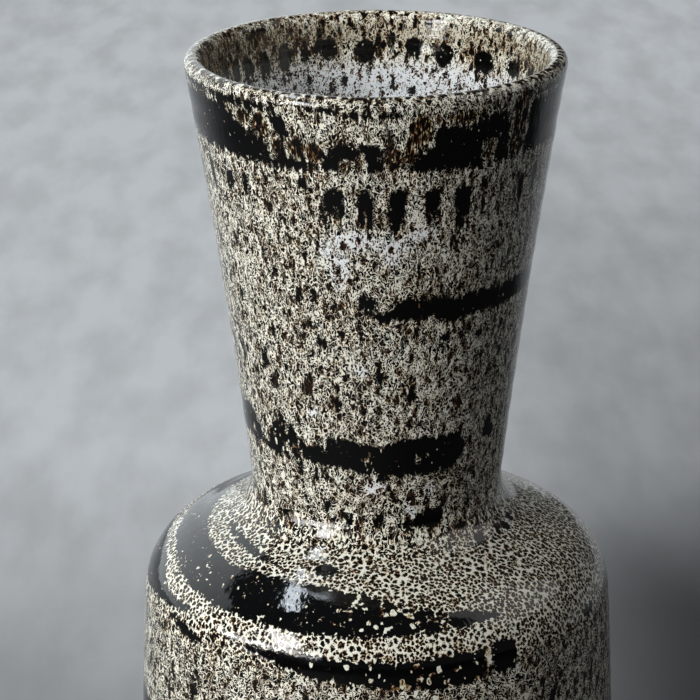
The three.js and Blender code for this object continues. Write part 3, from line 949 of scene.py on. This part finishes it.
def glaze_lattice(bench, flow, fine, drip, patch, cell):
    """How far the cream lies over the ground: threads along winding lines on the walls and, where the cells
    are, a net round pits. It is above zero in the cream, and nearer to zero where the glaze is calm."""
    wide_lines = bench.ridge(flow, WIDE_THREADS, 1.0)
    close_lines = bench.ridge(bench.stirred(flow, 500.0, 3 * MM), CLOSE_THREADS, 0.6)
    gated_lines = close_lines - (drip - 0.49) * 0.24
    lines = wide_lines.math("SMOOTH_MAX", wide_lines, gated_lines, 0.03)
    threads = lines * 15.5 + (fine - 0.5) * 0.9 - 0.04

    sheet = bench.stretched(flow, bench.field("spread"))
    wide_cells = bench.pits(bench.stirred(sheet, 500.0, 1.6 * MM), WIDE_CELLS)
    close_cells = bench.pits(bench.stirred(sheet, 700.0, 1.2 * MM), CLOSE_CELLS)
    cells = wide_cells + (close_cells - wide_cells) * bench.ease(patch, 0.42, 0.56)
    net = (cells - 0.26) * 2.8 + (fine - 0.5) * 2.0
    return (threads + (net - threads) * cell) * (1 - bench.field("calm"))


def glaze_ramps(bench, c, level, warmth):
    """Colour of a level: a cool ramp from black by olive to cream, or a warm one by brown and amber."""
    cool = bench.ramp(
        level, (0.33, c.black), (0.45, c.umber), (0.53, c.olive), (0.62, c.cream), (0.88, c.pale)
    )
    warm = bench.ramp(
        level, (0.06, c.black), (0.34, c.brown), (0.54, c.amber), (0.68, c.cream), (0.92, c.pale)
    )
    return bench.mix(warmth, cool, warm)


def glaze_material(name, c):
    """Reactive glaze. A level, from black through brown to cream, is the sum of threads of cream drawn out
    down the walls, or of a cream net round cells of black on the shoulder, of dark iron eyes, of bare black
    with ragged edges and flecks, and of the tone. It goes through a cool ramp, or a warm one round the
    eyes, and then red-brown, milky and toasted places are laid over it."""
    bench = Bench(bpy.data.materials.new(name))
    flow = bench.flow()
    bare, rag, fleck, cell, streak, tone = (
        bench.field(field) for field in ("bare", "rag", "fleck", "cell", "streak", "tone")
    )
    milk, rust, toast, pepper = (
        bench.field(field) for field in ("milk", "rust", "toast", "pepper")
    )

    # Fine grain, drips, broad patches and fingers
    fine = bench.noise(flow, GRAIN_SCALE, 1.0, 0.6)
    drip = bench.noise(bench.stretched(flow, (1.0, 1.0, 0.4)), DRIP_SCALE, 2.5)
    patch = bench.noise(flow, PATCH_SCALE, 3.0)
    fingers = bench.noise(bench.stretched(flow, (1.0, 1.0, 0.3)), FINGER_SCALE, 1.0)
    streaks = (fingers - 0.60) * 2.6
    lattice = glaze_lattice(bench, flow, fine, drip, patch, cell)

    # Dark eyes
    eye_flow = bench.stretched(bench.stirred(flow, 420.0, 2.8 * MM), (1.0, 1.0, 0.65))
    eyes = bench.dots(eye_flow, EYE_SCALE)
    pupils = (1 - bench.ease(eyes, 0.14, 0.36)) * 0.7
    rings = (1 - bench.ease(eyes, 0.28, 0.60)) * 0.2
    holes = (pupils + rings) * (1 - cell * 0.6) * (1 + pepper * 1.4)

    # Bare black and its flecks
    edge = (bare + (drip - 0.5) * rag - lattice * 0.42) / (0.5 + rag * 0.18)
    within = bench.ease(edge, -0.7, 1.3)
    flecks = bench.dots(bench.stirred(flow, 500.0, 2.5 * MM), FLECK_SCALE)
    specks = within * bench.ease(fleck - flecks + (drip - 0.5) * 0.7, 0.0, 0.1)
    bared = within - specks

    # Level
    weave = lattice * (1 - specks * 0.8)
    cover = weave + (streaks - weave) * streak + (0.5 - patch) * 0.6 + milk * 0.22 + tone - holes
    level = 0.56 + cover + specks * 0.3 - bared * 1.4 - lip_dashes(bench, fine, patch) * 0.9

    # Colour, with what is laid over it
    iron = (1 - bench.ease(eyes, 0.38, 0.68)) * 0.95 + bench.ease(patch, 0.46, 0.60) * 0.6
    glaze = glaze_ramps(bench, c, level, iron.most(streak * 0.5) * (1 - bared))
    blotch = bench.ease(lattice + (drip - 0.5) * 0.8, -0.1, 0.3)
    reddened = rust * blotch * (1 - bench.ease(level, 0.36, 0.60))
    spotted = bench.mix(reddened, glaze, rgba(c.rust))
    milky = bench.mix(milk * bench.ease(level, 0.5, 0.7) * 0.85, spotted, rgba(c.milk))
    toasted = bench.mix(toast * bench.ease(level, 0.4, 0.6) * 0.7, milky, rgba(c.tan))

    thick = bench.ease(level, 0.36, 0.74)
    bank = 1 - bench.ease(edge, -0.6, 0.6)
    return bench.finish(
        {
            "Base Color": toasted,
            "Roughness": 0.05 + thick * 0.03,
            "IOR": 1.5,
            "Normal": bench.bump(thick * 0.16 + bank * 0.12 + drip * 0.4 + fine * 0.03),
        }
    )


def clay_material(name, colour):
    """Fired clay: cloudy colour with dark iron specks and a fine sandy bump."""
    bench = Bench(bpy.data.materials.new(name))
    place = bench.place()
    cloud = bench.noise(place, CLOUD_SCALE, 4.0)
    sand = bench.noise(place, GRAIN_SCALE, 3.0)
    dark = tuple(0.45 * channel for channel in colour)
    light = tuple(min(1.0, 1.25 * channel) for channel in colour)
    base = bench.mix(bench.ease(cloud, 0.3, 0.7), rgba(dark), rgba(light))
    specks = 1 - bench.ease(bench.dots(place, SPECK_SCALE) + (sand - 0.5) * 0.4, 0.12, 0.2)
    return bench.finish(
        {
            "Base Color": bench.mix(specks, base, rgba(SPECK)),
            "Roughness": 0.72 + sand * 0.2,
            "Normal": bench.bump(sand),
        }
    )


def floor_material(settings):
    """Matt floor with faint clouds. Behind the vase it glows pale to the camera and to mirrors, so that the
    background is pale with no more light on the vase, and it fades into painted shade on the right, which
    stands in for the vase's shadow. Beside and before the vase it glows to the camera alone, and darkens
    close to the foot as a painted contact shadow."""
    bench = Bench(bpy.data.materials.new("pale_floor"))
    place = bench.place()
    cloud = bench.ease(bench.noise(bench.stretched(place, (1.0, 0.33, 1.0)), 34.0, 8.0), 0.25, 0.75)
    away = bench.node("ShaderNodeVectorMath", {"operation": "LENGTH"}, {0: place}, "Value")
    across, behind = (bench.axis(place, name) for name in "XY")
    camera = bench.ray("Camera")

    far = bench.ease(away, 0.9, 1.7)
    back = bench.ease(behind + across * 0.35, -0.2, 0.62)
    # Painted shade behind the vase to the right, standing in for the vase's cast shadow
    wide_shade = 1 - bench.ease(behind, 0.3, 1.7)
    near_shade = 1 - bench.ease(behind, 0.35, 0.6)
    shade = bench.ease(across, -0.05, 0.17) * (wide_shade * 0.54 + near_shade * 0.46)
    pale = (far * camera * 0.8).most(back * bench.seen())
    framed = pale * (1 - shade) * (0.81 + cloud * 0.24)

    beside = bench.ease(abs(across) - behind * 0.11, 0.15, 0.5)
    before = 1 - bench.ease(behind, -0.1, 0.24)
    soft = bench.noise(place, 7.0, 4.0)
    # Painted contact shadow: the floor's glow is darker close to the foot
    open_floor = (0.72 + soft * 0.2) * (0.35 + bench.ease(away, 0.07, 0.34) * 0.65)
    share = framed + (open_floor - framed) * (camera * beside.most(before))

    glow = bench.mix(share, rgba(DARK), rgba(settings.backdrop))
    # Floor colour darkened inside the painted shade
    dim = tuple(0.4 * channel for channel in settings.floor)
    colour = bench.mix(shade * 0.9, rgba(settings.floor), rgba(dim))
    return bench.finish(
        {"Base Color": colour, "Roughness": 0.9, "Emission Color": glow, "Emission Strength": 1.0}
    )


def surround_world(settings):
    """Pale surround for the camera, and dim light from the room for the rest."""
    world = bpy.data.worlds.new("studio_surround")
    bench = Bench(world)
    colour = bench.mix(bench.ray("Camera"), rgba(settings.ambient), rgba(settings.surround))
    light = bench.node("ShaderNodeBackground", {}, {"Color": colour})
    bench.node("ShaderNodeOutputWorld", {}, {"Surface": light})
    return world


# Operators

class VASE_OT_outer_glaze(bpy.types.Operator):
    """Makes the outer glaze: a closed coat from above the foot, over the lip, into the throat"""

    bl_idname = "vase.outer_glaze"
    bl_label = "Outer Glaze"

    def execute(self, context):
        s = context.scene.vase_sizes
        c = context.scene.glaze_colours
        outside = cut(outside_line(s), s.glaze_edge, s.total_height - s.lip_radius)
        lip = lip_line(s)
        bore = bore_line(s)[1]
        throat = cut(bore, s.throat, s.total_height - s.lip_radius)[::-1]
        crest = len(lip) // 2
        down = np.concatenate([lip[: crest + 1][::-1], outside[::-1][1:]])
        into = np.concatenate([lip[crest:], throat[1:]])
        far_down, far_in = run_of(down)[-1], run_of(into)[-1]

        angles = steps_round(s.columns, OUTER_FOCUS)
        runs_down = np.append(row_runs(OUTER_ROWS) * MM, far_down)
        points_down, place_down = grid_place(down, runs_down, angles)
        points_in, place_in = grid_place(into, np.linspace(0, far_in, THROAT_ROWS)[1:], angles)
        fields_down = outside_glaze(place_down)
        fields_in = inside_glaze(place_in)
        fields = {
            name: np.concatenate([fields_down[name][::-1], fields_in[name]]) for name in fields_down
        }
        heights = np.concatenate(
            [raised(s, fields_down, place_down)[::-1], raised(s, fields_in, place_in)]
        )
        face = np.concatenate([points_down[::-1], points_in])
        out = -normals_of(face)
        heights[[0, -1]] = 0
        front = face[:, None, :] + out[:, None, :] * heights[..., None]

        kept = sparse_rows(face)
        back = (face - out * s.outer_coat)[kept]
        back[[0, -1], 1] = face[[0, -1], 1]
        section = np.concatenate([front, np.repeat(back[::-1, None, :], s.columns, 1)])
        piece = add_piece(
            "outer_glaze_coat",
            turn(section, angles),
            wrap_faces(len(section), s.columns, closed=True),
            "outer_glaze",
        )
        hidden = np.zeros((len(back), s.columns))
        store(piece, **{name: np.concatenate([value, hidden]) for name, value in fields.items()})
        piece.data.materials.append(glaze_material("outer_reactive_glaze", c))
        return {"FINISHED"}


class VASE_OT_inner_glaze(bpy.types.Operator):
    """Makes the inner glaze: a closed coat from the throat down to the middle of the floor"""

    bl_idname = "vase.inner_glaze"
    bl_label = "Inner Glaze"

    def execute(self, context):
        s = context.scene.vase_sizes
        c = context.scene.glaze_colours
        line = np.concatenate([[[COAT_HUB, s.floor_top]], inside_line(s)])
        bore = bore_line(s)[1]
        height = s.throat - s.bond
        top = [np.interp(height, bore[:, 1], bore[:, 0]), height]
        down = np.concatenate([line[line[:, 1] < height], [top]])[::-1]
        lip = lip_line(s)
        start = run_of(np.concatenate([lip[len(lip) // 2 :], [top]]))[-1]
        far = run_of(down)[-1]
        low, step = INNER_LOW_ROWS
        runs = row_runs((*INNER_ROWS, (low, far / MM, step)))
        angles = steps_round(s.columns, INNER_FOCUS)
        points, place = grid_place(down, np.append(runs * MM, far), angles)
        place.run = place.run + start / MM
        fields = inside_glaze(place)
        heights = raised(s, fields, place)
        heights[[0, -1]] = 0
        out = -normals_of(points)
        front = points[:, None, :] + out[:, None, :] * heights[..., None]
        kept = sparse_rows(points)
        back = (points - out * s.inner_coat)[kept]
        back[0, 1] = points[0, 1]
        back[-1] = [points[-1, 0], points[-1, 1] - s.inner_coat]
        section = np.concatenate([front[::-1], np.repeat(back[:, None, :], s.columns, 1)])
        middle = [[0, 0, points[-1, 1]], [0, 0, points[-1, 1] - s.inner_coat]]
        piece = add_piece(
            "inner_glaze_coat",
            np.concatenate([turn(section, angles).reshape(-1, 3), middle]),
            capped_faces(len(section), s.columns)[:, ::-1],
            "inner_glaze",
        )
        hidden = np.zeros(len(back) * s.columns + 2)
        store(piece, **{name: np.append(value[::-1].ravel(), hidden) for name, value in fields.items()})
        piece.data.materials.append(glaze_material("inner_reactive_glaze", c))
        return {"FINISHED"}


class VASE_OT_foot(bpy.types.Operator):
    """Makes the turned foot ring and the floor disc with its turning marks, both of bare clay"""

    bl_idname = "vase.foot"
    bl_label = "Foot and Floor"

    def execute(self, context):
        s = context.scene.vase_sizes
        c = context.scene.glaze_colours
        clay = clay_material("foot_clay", c.clay)
        angles = steps_round(FOOT_COLUMNS, 0)
        inner = s.foot_radius - s.foot_width
        edge = s.foot_edge
        low_in = arc((inner + edge, edge), edge, math.pi, 1.5 * math.pi, 8)
        low_out = arc((s.foot_radius - edge, edge), edge, 1.5 * math.pi, 2 * math.pi, 8)
        ring = np.concatenate(
            [low_in, low_out, [[s.foot_radius, s.foot_height], [inner, s.foot_height]]]
        )
        foot = add_piece(
            "turned_foot_ring",
            turn(ring, angles),
            wrap_faces(len(ring), FOOT_COLUMNS, closed=True),
            "foot_ring",
        )
        foot.data.materials.append(clay)

        under = s.foot_height + s.bond
        outside = outside_line(s)
        clay_face = outside + normals_of(outside) * (s.outer_coat + s.bond)
        rim = cut(clay_face, under, s.flange_top)
        radius = np.linspace(DISC_HUB, rim[0, 0] - MARK_MARGIN, MARK_ROWS)
        marks = MARK_DEPTH * (0.5 - 0.5 * np.cos(radius / MARK_PITCH * 2 * math.pi))
        bottom = np.stack([radius, under + marks], 1)
        top = [
            [s.plug_radius, s.flange_top],
            [s.plug_radius, s.floor_clay],
            [DISC_HUB, s.floor_clay],
        ]
        disc = np.concatenate([bottom, rim, top])
        middle = [[0, 0, bottom[0, 1]], [0, 0, s.floor_clay]]
        floor = add_piece(
            "turned_floor_disc",
            np.concatenate([turn(disc, angles).reshape(-1, 3), middle]),
            capped_faces(len(disc), FOOT_COLUMNS),
            "base_disc",
        )
        floor.data.materials.append(clay)
        return {"FINISHED"}


class VASE_OT_clay(bpy.types.Operator):
    """Gives the clay sections, coils and slip under the glaze their fired finish"""

    bl_idname = "vase.clay"
    bl_label = "Clay and Slip"

    def execute(self, context):
        c = context.scene.glaze_colours
        finishes = (
            (CLAY_NODES, clay_material("section_clay", c.clay)),
            (SLIP_NODES, clay_material("joint_slip", c.slip)),
        )
        for names, finish in finishes:
            for name in names:
                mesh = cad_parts[name].data
                mesh.materials.clear()
                mesh.materials.append(finish)
        return {"FINISHED"}


def towards(azimuth, elevation):
    """Unit direction from an azimuth to the right of the front and an elevation, in degrees."""
    side, rise = math.radians(azimuth), math.radians(elevation)
    return Vector((math.sin(side) * math.cos(rise), -math.cos(side) * math.cos(rise), math.sin(rise)))


WHITE = (1.0, 1.0, 1.0)
COOL = (0.93, 1.0, 1.03)
SKY = (0.84, 0.92, 1.0)
MIDDLE = (0, 0, 0.25)
MOUTH = (0, 0.035, 0.37)

# Panels of light as name, two (azimuth, elevation) ends, width, radiance, spread, colour, the place that
# they face and the distance from it
LAMPS = (
    ("front_strip", (-41, 8), (-54, 35), 13, 24.0, 80, WHITE, MIDDLE, 1.5),
    ("left_strip", (-72, 60), (-100, 65.3), 4.2, 16.0, 80, SKY, MIDDLE, 1.5),
    ("back_strip", (-96, 65.2), (-150, 60.2), 4.2, 16.0, 80, SKY, MIDDLE, 1.5),
    ("low_window", (-78, 2.2), (-27, 2.6), 7, 15.0, 110, WHITE, MIDDLE, 1.5),
    ("left_box", (-138, -4), (-138, 46), 86, 1.65, 140, COOL, MIDDLE, 1.5),
    ("right_top", (92, 24), (92, 64), 46, 1.1, 110, WHITE, MIDDLE, 1.5),
    ("mouth_spot", (-15, 42), (-15, 50), 8, 110.0, 14, WHITE, MOUTH, 0.6),
)

# Half the floor's side, and the camera's place, its dip below level and its roll in degrees
FLOOR_REACH = 8.0
CAMERA_PLACE = (-0.00955, -1.019, 0.629)
CAMERA_DIP = 19.48
CAMERA_ROLL = -0.3


def panel_lamp(name, start, end, width, radiance, spread, colour, aim, distance):
    """A panel of light that faces a place from a distance. Its middle line goes between two (azimuth,
    elevation) ends and its width is an angle, all seen from that place. Its grid lets light out as
    1 - tan x / tan h, to the half spread h, so the power for a radiance straight ahead is radiance times
    area times 2 pi times the integral of that times cos x sin x."""
    first, last = towards(*start), towards(*end)
    away = (first + last).normalized()
    along = (last - first).normalized()
    half = math.radians(spread) / 2
    share = (math.sin(half) ** 2 - (half - math.sin(2 * half) / 2) / math.tan(half)) / 2
    data = bpy.data.lights.new(name, "AREA")
    data.shape = "RECTANGLE"
    data.size = 2 * distance * math.tan(math.radians(width) / 2)
    data.size_y = 2 * distance * math.tan(first.angle(last) / 2)
    data.energy = radiance * data.size * data.size_y * 2 * math.pi * share
    data.spread = 2 * half
    data.color = colour
    made = bpy.data.objects.new(name, data)
    facing = Matrix((along.cross(away), along, away)).transposed().to_4x4()
    made.matrix_world = Matrix.Translation(Vector(aim) + away * distance) @ facing
    made.visible_camera = False
    bpy.context.scene.collection.objects.link(made)


class VASE_OT_studio(bpy.types.Operator):
    """Makes the floor, the lamps, the surround and the camera"""

    bl_idname = "vase.studio"
    bl_label = "Studio"

    def execute(self, context):
        scene = context.scene
        settings = scene.vase_studio
        corners = FLOOR_REACH * np.array([[-1, -1, 0], [1, -1, 0], [1, 1, 0], [-1, 1, 0]])
        mesh = bpy.data.meshes.new("studio_floor")
        mesh.from_pydata(corners, [], [(0, 1, 2, 3)])
        mesh.update()
        floor = bpy.data.objects.new("studio_floor", mesh)
        scene.collection.objects.link(floor)
        mesh.materials.append(floor_material(settings))

        for lamp in LAMPS:
            panel_lamp(*lamp)
        scene.world = surround_world(settings)

        data = bpy.data.cameras.new("camera")
        data.sensor_width = 36.0
        data.lens = settings.lens
        data.clip_start, data.clip_end = 0.05, 60.0
        camera = bpy.data.objects.new("camera", data)
        tilt = Matrix.Rotation(math.radians(90 - CAMERA_DIP), 4, "X")
        roll = Matrix.Rotation(math.radians(CAMERA_ROLL), 4, "Z")
        camera.matrix_world = Matrix.Translation(CAMERA_PLACE) @ tilt @ roll
        scene.collection.objects.link(camera)
        scene.camera = camera
        scene.view_settings.view_transform = "Standard"
        return {"FINISHED"}


OPERATORS = (
    VASE_OT_outer_glaze,
    VASE_OT_inner_glaze,
    VASE_OT_foot,
    VASE_OT_clay,
    VASE_OT_studio,
)


class VASE_PT_panel(bpy.types.Panel):
    """The vase's steps in the order that they run"""

    bl_idname = "VASE_PT_panel"
    bl_label = "Vase"
    bl_space_type = "VIEW_3D"
    bl_region_type = "UI"
    bl_category = "Vase"

    def draw(self, context):
        for operator in OPERATORS:
            self.layout.operator(operator.bl_idname)


GROUPS = {
    "vase_sizes": VaseSizes,
    "glaze_colours": GlazeColours,
    "vase_studio": StudioSettings,
}
CLASSES = (*GROUPS.values(), *OPERATORS, VASE_PT_panel)


def register():
    for kind in CLASSES:
        bpy.utils.register_class(kind)
    for name, group in GROUPS.items():
        setattr(bpy.types.Scene, name, PointerProperty(type=group))


def unregister():
    for name in GROUPS:
        delattr(bpy.types.Scene, name)
    for kind in reversed(CLASSES):
        bpy.utils.unregister_class(kind)


def main():
    """Builds every piece and the studio."""
    register()
    bpy.ops.vase.outer_glaze()
    bpy.ops.vase.inner_glaze()
    bpy.ops.vase.foot()
    bpy.ops.vase.clay()
    bpy.ops.vase.studio()
    bpy.context.view_layer.update()


if __name__ == "__main__":
    main()
